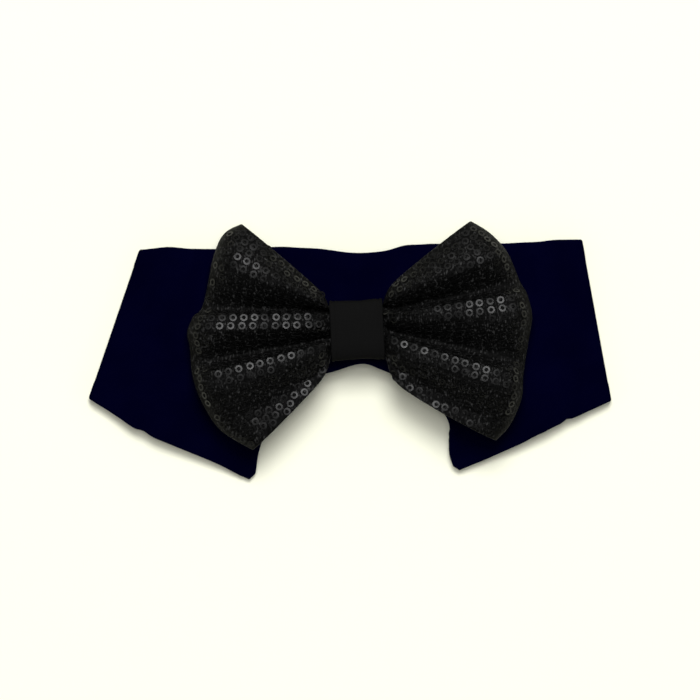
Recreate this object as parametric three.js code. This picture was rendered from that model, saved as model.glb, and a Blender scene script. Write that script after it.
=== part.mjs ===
// Pet bow tie collar, laid front up on a table and fastened.
//
// The collar is one sewn band of doubled cloth that closes in a loop around the neck. Laid down, the loop
// lies pressed between two side folds: on top the wide front leaf with its two points and the arch between
// them, below it the two narrower tails, which lap behind the neck over a patch of hook-and-loop tape.
// The bow is one loop of doubled sequin cloth, pinched at its waist into three ribs a side. A plain cloth
// band wraps the waist as the knot and is sewn to the leaf.
//
// Millimetres. +X runs along the bow, +Y towards the collar's top edge and +Z up. The origin is on the
// table under the middle of the knot.

import * as THREE from "three";

// Driving dimensions
const GAP = 0.3; // between pieces that are sewn or pressed together

const COLLAR_WALL = 2; // two layers of cloth and an interlining, turned and pressed
const LEAF_TOP_WIDTH = 178; // between the side folds, along the top edge
const LEAF_LOW_WIDTH = 210; // between the lower ends of the side folds
const LEAF_ABOVE = 34; // top edge over the middle of the knot
const POINTS_BELOW = 58; // collar points under the middle of the knot
const FOLD_RISE = 5; // from the tail to the leaf at a side fold, middle to middle of the wall
const NECK_GAP = 5; // clear height of the hollow over the lapped tails
const CROWN_REACH = 34; // the leaf climbs from a fold to its full height in this distance
const POINT_SAG = 9.4; // the points hang this much below the leaf's full height
const SAG_START = 16; // the leaf starts to sag this far under the middle of the knot
const SAG_POWER = 1.5;

const TAIL_ABOVE = 28; // the tails' ends over the middle of the knot
const TAIL_BELOW = 8; // and under it
const TAIL_LAP = 40; // the tails overlap by this
const TAIL_RAMP = 14; // the upper tail climbs over the tape in this distance
const TAPE_LENGTH = 32;
const TAPE_WIDTH = 30;
const TAPE_THICKNESS = 1.5; // hook and loop pressed together

const KNOT_WIDTH = 21.4;
const KNOT_HEIGHT = 24.8;
const KNOT_DEPTH = 12.6;
const KNOT_WALL = 1.5;
const KNOT_DIP = 0.6; // the band is this much slimmer at its middle
const KNOT_TILT = THREE.MathUtils.degToRad(2.7); // it sits a little askew
const KNOT_ROUNDING = 3.6; // exponent of its rounded section outside
const WAIST_ROUNDING = 5; // and of the squarer room inside it

const BOW_WALL = 1.6;
const BOW_WIDTH = 138;
const BOW_HEIGHT = 92;
const BOW_FRONT = 15; // the ribs stand this high over the wing's middle
const WING_SPREAD = 6; // the pinched cloth springs out this far beside the knot
const SPREAD_REACH = 0.06; // and does so in this share of the wing's length
const SPREAD_POWER = 1.5; // how long the edge stays out before it runs straight to the wing's corner
const NOSE_POWER = 8; // how bluntly the cloth turns over at a wing's outer end
const BACK_ROUNDING = 0.4; // the share of the waist's rounding that a wing's layer behind keeps

// How finely the curved walls are divided
const LEAF_STEPS_PER_ROW = 2;
const LEAF_LINES = 10;
const FOLD_STEPS = 5;
const TAIL_STEPS = 13;
const WING_STEPS = 11;
const WING_LINES_PER_ROW = 3;
const KNOT_SECTION_STEPS = 32;
const KNOT_STEPS = 6;

// The front leaf from its left fold to its right one. Each row is a line down the leaf, from its top edge
// to its lower edge, as shares of half LEAF_TOP_WIDTH, LEAF_ABOVE, half LEAF_LOW_WIDTH and POINTS_BELOW.
const LEAF_ROWS = [
  { topX: -0.967, topY: 0.945, lowX: -1.015, lowY: -0.481, corner: true }, // left fold
  { topX: -0.84, topY: 0.974, lowX: -0.912, lowY: -0.6 },
  { topX: -0.74, topY: 0.96, lowX: -0.81, lowY: -0.714 },
  { topX: -0.63, topY: 0.953, lowX: -0.6, lowY: -0.869 },
  { topX: -0.53, topY: 0.965, lowX: -0.41, lowY: -1.031, corner: true }, // left point
  { topX: -0.49, topY: 0.967, lowX: -0.387, lowY: -0.991, corner: true },
  { topX: -0.42, topY: 0.97, lowX: -0.366, lowY: -0.793 },
  { topX: -0.32, topY: 0.976, lowX: -0.295, lowY: -0.534 },
  { topX: -0.2, topY: 0.96, lowX: -0.186, lowY: -0.353 },
  { topX: -0.09, topY: 0.93, lowX: -0.076, lowY: -0.279 },
  { topX: 0.022, topY: 0.906, lowX: 0.019, lowY: -0.234 }, // top of the arch
  { topX: 0.12, topY: 0.936, lowX: 0.086, lowY: -0.269 },
  { topX: 0.225, topY: 0.997, lowX: 0.19, lowY: -0.362 },
  { topX: 0.33, topY: 1.012, lowX: 0.286, lowY: -0.491 },
  { topX: 0.42, topY: 1.015, lowX: 0.349, lowY: -0.638 },
  { topX: 0.49, topY: 1.018, lowX: 0.35, lowY: -0.836 },
  { topX: 0.55, topY: 1.02, lowX: 0.366, lowY: -0.941, corner: true }, // right point
  { topX: 0.585, topY: 1.024, lowX: 0.39, lowY: -0.966, corner: true },
  { topX: 0.7, topY: 1.027, lowX: 0.59, lowY: -0.814 },
  { topX: 0.81, topY: 1.044, lowX: 0.75, lowY: -0.669 },
  { topX: 0.9, topY: 1.06, lowX: 0.85, lowY: -0.586 },
  { topX: 1.001, topY: 1.065, lowX: 0.961, lowY: -0.495, corner: true }, // right fold
];

// Soft dents pressed into the leaf, at shares of half LEAF_LOW_WIDTH and POINTS_BELOW. Their half lengths
// and depth are shares of LEAF_ABOVE and COLLAR_WALL.
const LEAF_DENTS = [
  { x: -0.77, y: -0.53, halfX: 0.08, halfY: 0.24, depth: 0.7 },
  { x: -0.64, y: -0.42, halfX: 0.1, halfY: 0.18, depth: 0.35 },
  { x: 0.66, y: -0.58, halfX: 0.09, halfY: 0.2, depth: 0.6 },
];

// The cloth of each wing, from its top edge to its bottom edge. Each row is a line of the cloth from the
// knot to the outer end. knot is its place in the pinched waist and spread how far it springs out beside
// it, outX and outY where it ends, as shares of half the waist's height, WING_SPREAD and half the bow's
// width and height. pinch, middle and end set its height, as shares of the waist's half depth and of
// BOW_FRONT twice, and back that of the layer behind.
const LEFT_WING = [
  { knot: 0.96, spread: 0.6, outX: -0.661, outY: 0.93, pinch: 0.35, middle: 0.45, end: 0.46, back: 0.6 }, // top edge
  { knot: 0.94, spread: 0.45, outX: -0.774, outY: 0.835, pinch: 0.6, middle: 1.16, end: 0.58, back: 0.68 },
  { knot: 0.89, spread: 0.25, outX: -0.835, outY: 0.63, pinch: 0.78, middle: 1.5, end: 0.68, back: 0.8 }, // upper rib
  { knot: 0.82, spread: 0.08, outX: -0.867, outY: 0.37, pinch: 0.7, middle: 1.12, end: 0.62, back: 0.88 },
  { knot: 0.73, spread: 0, outX: -0.907, outY: 0.178, pinch: 0, middle: 0.44, end: 0.5, back: 0.93 }, // upper fold
  { knot: 0.52, spread: 0, outX: -0.977, outY: 0.087, pinch: 0.86, middle: 1.12, end: 0.62, back: 0.97 },
  { knot: 0.27, spread: 0, outX: -0.986, outY: -0.022, pinch: 0.98, middle: 1.42, end: 0.7, back: 0.98 }, // middle rib
  { knot: 0.02, spread: 0, outX: -0.971, outY: -0.13, pinch: 0.8, middle: 1.08, end: 0.64, back: 0.98 },
  { knot: -0.2, spread: 0, outX: -0.965, outY: -0.239, pinch: 0, middle: 0.46, end: 0.56, back: 0.97 }, // lower fold
  { knot: -0.38, spread: -0.2, outX: -0.951, outY: -0.435, pinch: 0.8, middle: 1.14, end: 0.64, back: 0.97 },
  { knot: -0.6, spread: -0.45, outX: -0.878, outY: -0.707, pinch: 0.9, middle: 1.5, end: 0.7, back: 0.94 }, // lower rib
  { knot: -0.82, spread: -0.75, outX: -0.762, outY: -0.926, pinch: 0.72, middle: 1.16, end: 0.58, back: 0.82 },
  { knot: -0.96, spread: -0.9, outX: -0.587, outY: -1.06, pinch: 0.35, middle: 0.45, end: 0.46, back: 0.6 }, // bottom edge
];
const RIGHT_WING = [
  { knot: 0.96, spread: 0.87, outX: 0.649, outY: 0.957, pinch: 0.35, middle: 0.45, end: 0.46, back: 0.6 }, // top edge
  { knot: 0.95, spread: 0.65, outX: 0.768, outY: 0.848, pinch: 0.6, middle: 1.16, end: 0.58, back: 0.68 },
  { knot: 0.92, spread: 0.38, outX: 0.864, outY: 0.696, pinch: 0.72, middle: 1.5, end: 0.68, back: 0.76 }, // upper rib
  { knot: 0.88, spread: 0.16, outX: 0.907, outY: 0.565, pinch: 0.6, middle: 1.12, end: 0.62, back: 0.82 },
  { knot: 0.81, spread: 0, outX: 0.948, outY: 0.413, pinch: 0, middle: 0.4, end: 0.54, back: 0.88 }, // upper fold
  { knot: 0.66, spread: 0, outX: 1, outY: 0.272, pinch: 0.84, middle: 1.1, end: 0.64, back: 0.94 },
  { knot: 0.43, spread: 0, outX: 1.017, outY: 0.13, pinch: 0.98, middle: 1.42, end: 0.7, back: 0.97 }, // middle rib
  { knot: 0.18, spread: 0, outX: 1, outY: -0.043, pinch: 0.8, middle: 1.06, end: 0.64, back: 0.98 },
  { knot: -0.05, spread: 0, outX: 0.977, outY: -0.196, pinch: 0, middle: 0.42, end: 0.56, back: 0.98 }, // lower fold
  { knot: -0.3, spread: -0.3, outX: 0.959, outY: -0.391, pinch: 0.84, middle: 1.16, end: 0.66, back: 0.97 },
  { knot: -0.56, spread: -0.75, outX: 0.951, outY: -0.609, pinch: 0.9, middle: 1.5, end: 0.7, back: 0.95 }, // lower rib
  { knot: -0.8, spread: -1.15, outX: 0.878, outY: -0.859, pinch: 0.72, middle: 1.14, end: 0.58, back: 0.84 },
  { knot: -0.96, spread: -1.5, outX: 0.797, outY: -0.974, pinch: 0.35, middle: 0.45, end: 0.46, back: 0.6 }, // bottom edge
];

// Heights over the table that follow from the sizes above
const TAIL_MIDDLE = COLLAR_WALL / 2;
const UPPER_TAIL_MIDDLE = TAIL_MIDDLE + COLLAR_WALL + TAPE_THICKNESS + 2 * GAP;
const LEAF_CROWN = UPPER_TAIL_MIDDLE + COLLAR_WALL + NECK_GAP; // middle of the leaf's wall at its highest
const LEAF_FACE = LEAF_CROWN + COLLAR_WALL / 2;
const WING_MIDDLE = LEAF_FACE + GAP + KNOT_DEPTH / 2;
const WAIST_HALF_HEIGHT = KNOT_HEIGHT / 2 - KNOT_WALL - KNOT_DIP - GAP;
const WAIST_HALF_DEPTH = KNOT_DEPTH / 2 - KNOT_WALL - GAP;

const smoothStep = (x) => THREE.MathUtils.smoothstep(x, 0, 1);

// The value of a named column at a place between rows: a smooth curve that keeps the rows marked corner.
function valueAt(rows, column, place) {
  const i = Math.min(Math.floor(place), rows.length - 2);
  const share = place - i;
  const [from, to] = [rows[i][column], rows[i + 1][column]];
  const straight = to - from;
  const leaves = i === 0 || rows[i].corner ? straight : (to - rows[i - 1][column]) / 2;
  const arrives = i === rows.length - 2 || rows[i + 1].corner ? straight : (rows[i + 2][column] - from) / 2;
  const [s2, s3] = [share ** 2, share ** 3];
  return (
    (2 * s3 - 3 * s2 + 1) * from + (s3 - 2 * s2 + share) * leaves + (3 * s2 - 2 * s3) * to + (s3 - s2) * arrives
  );
}

// A closed solid between two grids of points. Its outer face looks along (next row) x (next column). In a
// ring the last row joins the first one.
function wallBetween(outer, inner, ring) {
  const [rows, columns] = [outer.length, outer[0].length];
  const at = (side, i, j) => (side * rows + (i % rows)) * columns + j;
  const faces = [];
  const quad = (a, b, c, d) => faces.push(a, b, c, a, c, d);
  const steps = ring ? rows : rows - 1;
  for (let i = 0; i < steps; i++) {
    for (let j = 0; j < columns - 1; j++) {
      quad(at(0, i, j), at(0, i + 1, j), at(0, i + 1, j + 1), at(0, i, j + 1));
      quad(at(1, i, j), at(1, i, j + 1), at(1, i + 1, j + 1), at(1, i + 1, j));
    }
    quad(at(0, i, 0), at(1, i, 0), at(1, i + 1, 0), at(0, i + 1, 0));
    quad(at(0, i + 1, columns - 1), at(1, i + 1, columns - 1), at(1, i, columns - 1), at(0, i, columns - 1));
  }
  for (let j = 0; !ring && j < columns - 1; j++) {
    quad(at(0, 0, j), at(0, 0, j + 1), at(1, 0, j + 1), at(1, 0, j));
    quad(at(0, rows - 1, j + 1), at(0, rows - 1, j), at(1, rows - 1, j), at(1, rows - 1, j + 1));
  }
  const geometry = new THREE.BufferGeometry();
  geometry.setFromPoints([...outer.flat(), ...inner.flat()]);
  geometry.setIndex(faces);
  geometry.computeVertexNormals();
  return geometry;
}

// The unit normal of a grid of points at one of them, along (next row) x (next column).
function gridNormal(grid, i, j) {
  const step = (a, b) => new THREE.Vector3().subVectors(b, a);
  const [rows, columns] = [grid.length, grid[0].length];
  const alongRows = step(grid[Math.max(i - 1, 0)][j], grid[Math.min(i + 1, rows - 1)][j]);
  const alongColumns = step(grid[i][Math.max(j - 1, 0)], grid[i][Math.min(j + 1, columns - 1)]);
  return alongRows.cross(alongColumns).normalize();
}

const clothOf = (color, roughness) => new THREE.MeshStandardMaterial({ color, roughness, metalness: 0 });

function pieceOf(name, geometry, material) {
  const mesh = new THREE.Mesh(geometry, material);
  mesh.name = name;
  return mesh;
}

// Where a row of the leaf meets its top edge and its lower edge.
function leafEdges(place) {
  const top = new THREE.Vector2(
    (valueAt(LEAF_ROWS, "topX", place) * LEAF_TOP_WIDTH) / 2,
    valueAt(LEAF_ROWS, "topY", place) * LEAF_ABOVE,
  );
  const low = new THREE.Vector2(
    (valueAt(LEAF_ROWS, "lowX", place) * LEAF_LOW_WIDTH) / 2,
    valueAt(LEAF_ROWS, "lowY", place) * POINTS_BELOW,
  );
  return { top, low };
}

const LAST_ROW = LEAF_ROWS.length - 1;
const LEFT_FOLD = leafEdges(0);
const RIGHT_FOLD = leafEdges(LAST_ROW);

function distanceToFold(point, fold) {
  const line = new THREE.Vector2().subVectors(fold.low, fold.top);
  return Math.abs(line.cross(new THREE.Vector2().subVectors(point, fold.top))) / line.length();
}

function sagAt(y) {
  const share = THREE.MathUtils.clamp((-SAG_START - y) / (POINTS_BELOW - SAG_START), 0, 1.1);
  return POINT_SAG * share ** SAG_POWER;
}

// How far the leaf and the tail are apart where they meet at a fold, which closes up as the leaf sags.
const foldRiseAt = (y) => FOLD_RISE * (1 - (0.9 * sagAt(y)) / POINT_SAG);

// The share of its half height that a round fold has reached at a distance in from its outer edge.
function roundness(distance, rise) {
  const share = Math.min(distance / (rise / 2), 1);
  return Math.sqrt(1 - (1 - share) ** 2);
}

function leafPoint(place, down) {
  const { top, low } = leafEdges(place);
  const point = new THREE.Vector2().lerpVectors(top, low, down);
  const inside = Math.min(distanceToFold(point, LEFT_FOLD), distanceToFold(point, RIGHT_FOLD));
  const rise = foldRiseAt(point.y);
  const climb = smoothStep((inside - rise / 2) / CROWN_REACH);
  const crown = LEAF_CROWN - sagAt(point.y);
  const atFold = TAIL_MIDDLE + (rise / 2) * (1 + roundness(inside, rise));
  let height = atFold + climb * Math.max(crown - TAIL_MIDDLE - rise, 0);
  for (const dent of LEAF_DENTS) {
    const across = (point.x - (dent.x * LEAF_LOW_WIDTH) / 2) / (dent.halfX * LEAF_ABOVE);
    const along = (point.y - dent.y * POINTS_BELOW) / (dent.halfY * LEAF_ABOVE);
    height -= dent.depth * COLLAR_WALL * climb * Math.exp(-(across ** 2) - along ** 2);
  }
  return new THREE.Vector3(point.x, point.y, height);
}

// A point of a tail: share 0 at its side fold and 1 at its free end. The upper tail climbs over the tape.
function tailPoint(fold, endX, lift, share, down) {
  const top = new THREE.Vector2().lerpVectors(fold.top, new THREE.Vector2(endX, TAIL_ABOVE), share);
  const low = new THREE.Vector2().lerpVectors(fold.low, new THREE.Vector2(endX, -TAIL_BELOW), share);
  const point = new THREE.Vector2().lerpVectors(top, low, down);
  const rise = foldRiseAt(point.y);
  const fromRamp = TAIL_LAP / 2 + TAIL_RAMP + 2 - Math.sign(fold.top.x) * point.x;
  const height =
    TAIL_MIDDLE +
    (rise / 2) * (1 - roundness(distanceToFold(point, fold), rise)) +
    lift * smoothStep(fromRamp / TAIL_RAMP);
  return new THREE.Vector3(point.x, point.y, height);
}

const lineOf = (pointAt) => Array.from({ length: LEAF_LINES + 1 }, (_, j) => pointAt(j / LEAF_LINES));

// The steps of a round fold, from its outer edge inwards, as shares of the given length.
function foldShares(length) {
  const depth = FOLD_RISE / 2 / length;
  return Array.from({ length: FOLD_STEPS }, (_, k) => depth * (1 - Math.cos(((k + 1) / FOLD_STEPS) * (Math.PI / 2))));
}

function buildCollar() {
  const middleOf = ({ top, low }) => new THREE.Vector2().lerpVectors(top, low, 0.5);
  const leftRow = middleOf(LEFT_FOLD).distanceTo(middleOf(leafEdges(1)));
  const rightRow = middleOf(RIGHT_FOLD).distanceTo(middleOf(leafEdges(LAST_ROW - 1)));
  const leafPlaces = [
    LAST_ROW,
    ...foldShares(rightRow).map((share) => LAST_ROW - share),
    ...Array.from({ length: LAST_ROW * LEAF_STEPS_PER_ROW - 1 }, (_, k) => LAST_ROW - (k + 1) / LEAF_STEPS_PER_ROW),
    ...foldShares(leftRow).reverse(),
    0,
  ];
  const leaf = leafPlaces.map((place) => lineOf((down) => leafPoint(place, down)));

  const tailLines = (fold, endX, lift) => {
    const folded = foldShares(middleOf(fold).distanceTo(new THREE.Vector2(endX, (TAIL_ABOVE - TAIL_BELOW) / 2)));
    const start = folded[FOLD_STEPS - 1];
    const flat = Array.from({ length: TAIL_STEPS }, (_, k) => start + ((1 - start) * (k + 1)) / TAIL_STEPS);
    return [...folded, ...flat].map((share) => lineOf((down) => tailPoint(fold, endX, lift, share, down)));
  };
  const lowerTail = tailLines(LEFT_FOLD, TAIL_LAP / 2, 0);
  const upperTail = tailLines(RIGHT_FOLD, -TAIL_LAP / 2, UPPER_TAIL_MIDDLE - TAIL_MIDDLE);

  const middle = [...upperTail.reverse(), ...leaf, ...lowerTail];
  const faceAt = (side) =>
    middle.map((line, i) =>
      line.map((point, j) => gridNormal(middle, i, j).multiplyScalar((side * COLLAR_WALL) / 2).add(point)),
    );
  return pieceOf("collar", wallBetween(faceAt(1), faceAt(-1), false), clothOf(0x02021e, 0.85));
}

// A patch of tape between the lapped tails.
function buildClosureTape() {
  const tape = pieceOf(
    "closure_tape",
    new THREE.BoxGeometry(TAPE_LENGTH, TAPE_WIDTH, TAPE_THICKNESS),
    clothOf(0x0c0c10, 0.95),
  );
  tape.position.set(0, (TAIL_ABOVE - TAIL_BELOW) / 2, COLLAR_WALL + GAP + TAPE_THICKNESS / 2);
  return tape;
}

// A place in the tilted knot.
const askew = (x, y) => new THREE.Vector2(x, y).rotateAround(new THREE.Vector2(), KNOT_TILT);

// The waist's line half way through the knot, where the two wings' cloth is one.
function waistValue(column, place) {
  return (valueAt(LEFT_WING, column, place) + valueAt(RIGHT_WING, column, place)) / 2;
}

// One line of a wing's cloth: over the front from the middle of the knot to the outer end, and back
// behind. Returns the outer face and the inner one.
function wingLine(rows, place) {
  const side = Math.sign(rows[0].outX);
  const column = (name) => valueAt(rows, name, place);
  const knot = askew((side * KNOT_WIDTH) / 2, column("knot") * WAIST_HALF_HEIGHT);
  const out = new THREE.Vector2((column("outX") * BOW_WIDTH) / 2, (column("outY") * BOW_HEIGHT) / 2);
  const waistFront = column("pinch") * WAIST_HALF_DEPTH;
  const waistBack = column("back") * WAIST_HALF_DEPTH;

  const pointAt = (along, front) => {
    const flat = new THREE.Vector2().lerpVectors(knot, out, along);
    flat.y += column("spread") * WING_SPREAD * (1 - along ** SPREAD_POWER) * (1 - Math.exp(-along / SPREAD_REACH));
    const nose = Math.sqrt(Math.max(1 - along ** NOSE_POWER, 0));
    const rise =
      (1 - along) ** 2 * waistFront +
      2 * along * (1 - along) * column("middle") * BOW_FRONT +
      along ** 2 * column("end") * BOW_FRONT;
    const wingBack = (1 - BACK_ROUNDING * (1 - column("back"))) * (KNOT_DEPTH / 2);
    const fall = waistBack + (wingBack - waistBack) * smoothStep(3 * along);
    return new THREE.Vector3(flat.x, flat.y, WING_MIDDLE + nose * (front ? rise : -fall));
  };
  const alongs = Array.from({ length: WING_STEPS + 1 }, (_, k) => Math.sin((k / WING_STEPS) * (Math.PI / 2)) ** 1.3);
  const centre = askew(0, waistValue("knot", place) * WAIST_HALF_HEIGHT);
  const centreFront = waistValue("pinch", place) * WAIST_HALF_DEPTH;
  const centreBack = waistValue("back", place) * WAIST_HALF_DEPTH;
  const outer = [
    new THREE.Vector3(centre.x, centre.y, WING_MIDDLE + centreFront),
    ...alongs.map((along) => pointAt(along, true)),
    ...alongs.slice(0, -1).reverse().map((along) => pointAt(along, false)),
    new THREE.Vector3(centre.x, centre.y, WING_MIDDLE - centreBack),
  ];

  const away = new THREE.Vector2().subVectors(out, knot).normalize();
  const inner = outer.map((point, i) => {
    if (i === 0 || i === outer.length - 1) return point.clone().setZ(point.z - Math.sign(1 - i) * BOW_WALL);
    const step = new THREE.Vector3().subVectors(outer[i + 1], outer[i - 1]);
    const stepAway = step.x * away.x + step.y * away.y;
    const inward = new THREE.Vector3(away.x * step.z, away.y * step.z, -stepAway).setLength(BOW_WALL);
    return inward.add(point);
  });
  return { outer, inner };
}

function buildBow() {
  const lines = (LEFT_WING.length - 1) * WING_LINES_PER_ROW;
  const places = Array.from({ length: lines + 1 }, (_, k) => k / WING_LINES_PER_ROW);
  const [left, right] = [LEFT_WING, RIGHT_WING].map((rows) => places.map((place) => wingLine(rows, place)));
  const gridOf = (face) => {
    const stations = left[0][face].length;
    const stationOf = (wing, k) => wing.map((line) => line[face][k]);
    const overLeft = Array.from({ length: stations }, (_, k) => stationOf(left, k));
    const overRight = Array.from({ length: stations - 2 }, (_, k) => stationOf(right, stations - 2 - k));
    return [...overLeft, ...overRight];
  };
  return pieceOf("bow", wallBetween(gridOf("outer"), gridOf("inner"), true), clothOf(0x1c1c1c, 0.7));
}

// The knot: a band of plain cloth around the bow's waist, slightly slimmer at its middle.
function buildKnot() {
  const squared = (value, rounding) => Math.sign(value) * Math.abs(value) ** (2 / rounding);
  const ringAt = (inset, rounding) =>
    Array.from({ length: KNOT_SECTION_STEPS }, (_, i) => {
      const turn = (i / KNOT_SECTION_STEPS) * 2 * Math.PI;
      return Array.from({ length: KNOT_STEPS + 1 }, (_, j) => {
        const across = (2 * j) / KNOT_STEPS - 1;
        const halfHeight = KNOT_HEIGHT / 2 - KNOT_DIP * (1 - across ** 2) - inset;
        return new THREE.Vector3(
          (across * KNOT_WIDTH) / 2,
          squared(Math.cos(turn), rounding) * halfHeight,
          WING_MIDDLE + squared(Math.sin(turn), rounding) * (KNOT_DEPTH / 2 - inset),
        );
      });
    });
  const ring = wallBetween(ringAt(0, KNOT_ROUNDING), ringAt(KNOT_WALL, WAIST_ROUNDING), true);
  const knot = pieceOf("knot", ring, clothOf(0x141414, 0.9));
  knot.rotation.z = KNOT_TILT;
  return knot;
}

const collar = new THREE.Group();
collar.add(buildCollar(), buildClosureTape(), buildBow(), buildKnot());

export default collar;
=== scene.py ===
# A pet's bow tie collar, laid front up on a table: a navy cloth collar closed in a loop behind, with a
# black sequin bow and its plain knot at the front. Sizes are in millimetres unless a comment says otherwise,
# on the same axes as the solids: +X along the bow, +Y to the collar's top edge, +Z up from the table.

import math
import random

import bpy
import numpy as np
from mathutils import Matrix, Vector, noise


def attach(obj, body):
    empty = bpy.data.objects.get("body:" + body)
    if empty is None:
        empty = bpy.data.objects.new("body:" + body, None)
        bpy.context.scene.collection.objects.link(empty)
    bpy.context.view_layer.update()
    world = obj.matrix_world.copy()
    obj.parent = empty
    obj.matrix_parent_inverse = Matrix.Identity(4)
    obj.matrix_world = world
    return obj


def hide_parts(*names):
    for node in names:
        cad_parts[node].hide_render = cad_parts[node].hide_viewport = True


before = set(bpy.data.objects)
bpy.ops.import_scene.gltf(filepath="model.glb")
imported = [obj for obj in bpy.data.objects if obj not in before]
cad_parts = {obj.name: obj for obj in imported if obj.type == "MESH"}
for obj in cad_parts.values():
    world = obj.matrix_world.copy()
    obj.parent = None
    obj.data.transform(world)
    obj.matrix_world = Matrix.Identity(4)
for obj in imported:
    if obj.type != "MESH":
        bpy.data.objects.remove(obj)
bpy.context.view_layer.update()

# The table, the light and the camera
#
# A pale cream table top in a dim room. A soft lamp stands beyond the collar's top edge, about 65 degrees
# high, a second one hangs right above, and two weak ones stand at the sides. Only the first shows in what is
# glossy.

MM = 0.001


def linear_colour(text):
    """An sRGB hex colour as the linear colour that a shader takes."""
    shares = [int(text[i : i + 2], 16) / 255 for i in (0, 2, 4)]
    return tuple(c / 12.92 if c <= 0.04045 else ((c + 0.055) / 1.055) ** 2.4 for c in shares) + (1.0,)


def add_node(tree, kind, inputs=None, **settings):
    """Adds a node with its own settings. An input takes a value or the output that feeds it."""
    node = tree.nodes.new(kind)
    for name, value in settings.items():
        setattr(node, name, value)
    for name, value in (inputs or {}).items():
        if isinstance(value, bpy.types.NodeSocket):
            tree.links.new(value, node.inputs[name])
        else:
            node.inputs[name].default_value = value
    return node


def new_material(name):
    """An empty material, its node tree and its shader."""
    material = bpy.data.materials.new(name)
    material.use_nodes = True
    material.node_tree.nodes.clear()
    shader = add_node(material.node_tree, "ShaderNodeBsdfPrincipled")
    add_node(material.node_tree, "ShaderNodeOutputMaterial", {"Surface": shader.outputs["BSDF"]})
    return material, material.node_tree, shader


TABLE_SIDE = 3000
# A hair below the collar, so that no two faces lie in one plane.
TABLE_DROP = 0.05
half_side = TABLE_SIDE * MM / 2
corners = [(x * half_side, y * half_side, -TABLE_DROP * MM) for x, y in ((-1, -1), (1, -1), (1, 1), (-1, 1))]
table_mesh = bpy.data.meshes.new("table_top")
table_mesh.from_pydata(corners, [], [(0, 1, 2, 3)])
table_top = bpy.data.objects.new("table_top", table_mesh)
bpy.context.collection.objects.link(table_top)

# Painted board, matte and even.
painted_board, _, board_shader = new_material("matte painted board")
board_shader.inputs["Base Color"].default_value = linear_colour("f9f9e6")
board_shader.inputs["Roughness"].default_value = 0.95
board_shader.inputs["Specular IOR Level"].default_value = 0.1
table_mesh.materials.append(painted_board)

LAMPS = [
    # name, place in metres, width and length in metres, watts, whether it shows in what is glossy
    ("soft_lamp", (0.2, 2.5, 5.4), 2.2, 2.2, 290.0, True),
    ("ceiling_lamp", (0.0, 0.3, 6.0), 1.8, 1.8, 98.0, False),
    ("left_fill", (-4.8, -0.6, 2.9), 3.6, 2.8, 22.0, False),
    ("right_fill", (4.8, -0.6, 2.9), 3.6, 2.8, 22.0, False),
]
for name, place, width, length, watts, shows in LAMPS:
    lamp = bpy.data.lights.new(name, "AREA")
    lamp.shape = "RECTANGLE"
    lamp.size = width
    lamp.size_y = length
    lamp.energy = watts
    lamp_object = bpy.data.objects.new(name, lamp)
    lamp_object.location = place
    lamp_object.rotation_euler = (-Vector(place)).to_track_quat("-Z", "Y").to_euler()
    lamp_object.visible_glossy = shows
    bpy.context.collection.objects.link(lamp_object)

room = bpy.data.worlds.new("dim_room")
room.use_nodes = True
room_tree = room.node_tree
direction = add_node(room_tree, "ShaderNodeTexCoord")
height = add_node(room_tree, "ShaderNodeSeparateXYZ", {"Vector": direction.outputs["Generated"]})
walls = add_node(room_tree, "ShaderNodeValToRGB", {"Fac": height.outputs["Z"]})
walls.color_ramp.elements[0].position = 0.2
walls.color_ramp.elements[0].color = (0.2, 0.2, 0.193, 1.0)
walls.color_ramp.elements[1].position = 0.9
walls.color_ramp.elements[1].color = (0.12, 0.12, 0.115, 1.0)
room.cycles_visibility.glossy = False
room_tree.links.new(walls.outputs["Color"], room_tree.nodes["Background"].inputs["Color"])
bpy.context.scene.world = room
bpy.context.scene.view_settings.view_transform = "Standard"

CAMERA_VIEW_WIDTH = 280
CAMERA_PLACE = (-2.8, -8, 900)
camera_data = bpy.data.cameras.new("camera")
camera_data.type = "ORTHO"
camera_data.ortho_scale = CAMERA_VIEW_WIDTH * MM
camera = bpy.data.objects.new("camera", camera_data)
camera.location = [c * MM for c in CAMERA_PLACE]
bpy.context.collection.objects.link(camera)
bpy.context.scene.camera = camera

# The collar
#
# Two layers of navy cotton poplin with an interlining between them, sewn face to face, turned out and
# pressed. The band closes in a loop: wide front leaf with two points and an arch, soft side folds, and two
# narrower tails that lap behind. Its wall is thickest along the edges, where the turned seams lie inside.

COLLAR_WALL = 2.0
LEAF_TOP_WIDTH = 178
LEAF_LOW_WIDTH = 210
LEAF_ABOVE = 34
POINTS_BELOW = 58
FOLD_RISE = 5
NECK_GAP = 5
CROWN_REACH = 34
POINT_SAG = 9.4
SAG_START = 16
SAG_POWER = 1.5
TAIL_ABOVE = 28
TAIL_BELOW = 8
TAIL_LAP = 40
TAIL_RAMP = 14
TAIL_MARGIN = 2
TAPE_THICKNESS = 1.5
GAP = 0.3

SEAM_WIDTH = 6.5
SEAM_STEP = 1.6
FIELD_THINNING = 0.16
EDGE_PUCKER = 0.12
PUCKER_REACH = 5
EDGE_WANDER = 0.35
CLOTH_RIPPLE = 0.45
RIPPLE_START = 45
RIPPLE_FADE = 20
RIPPLE_REACH = 17

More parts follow.
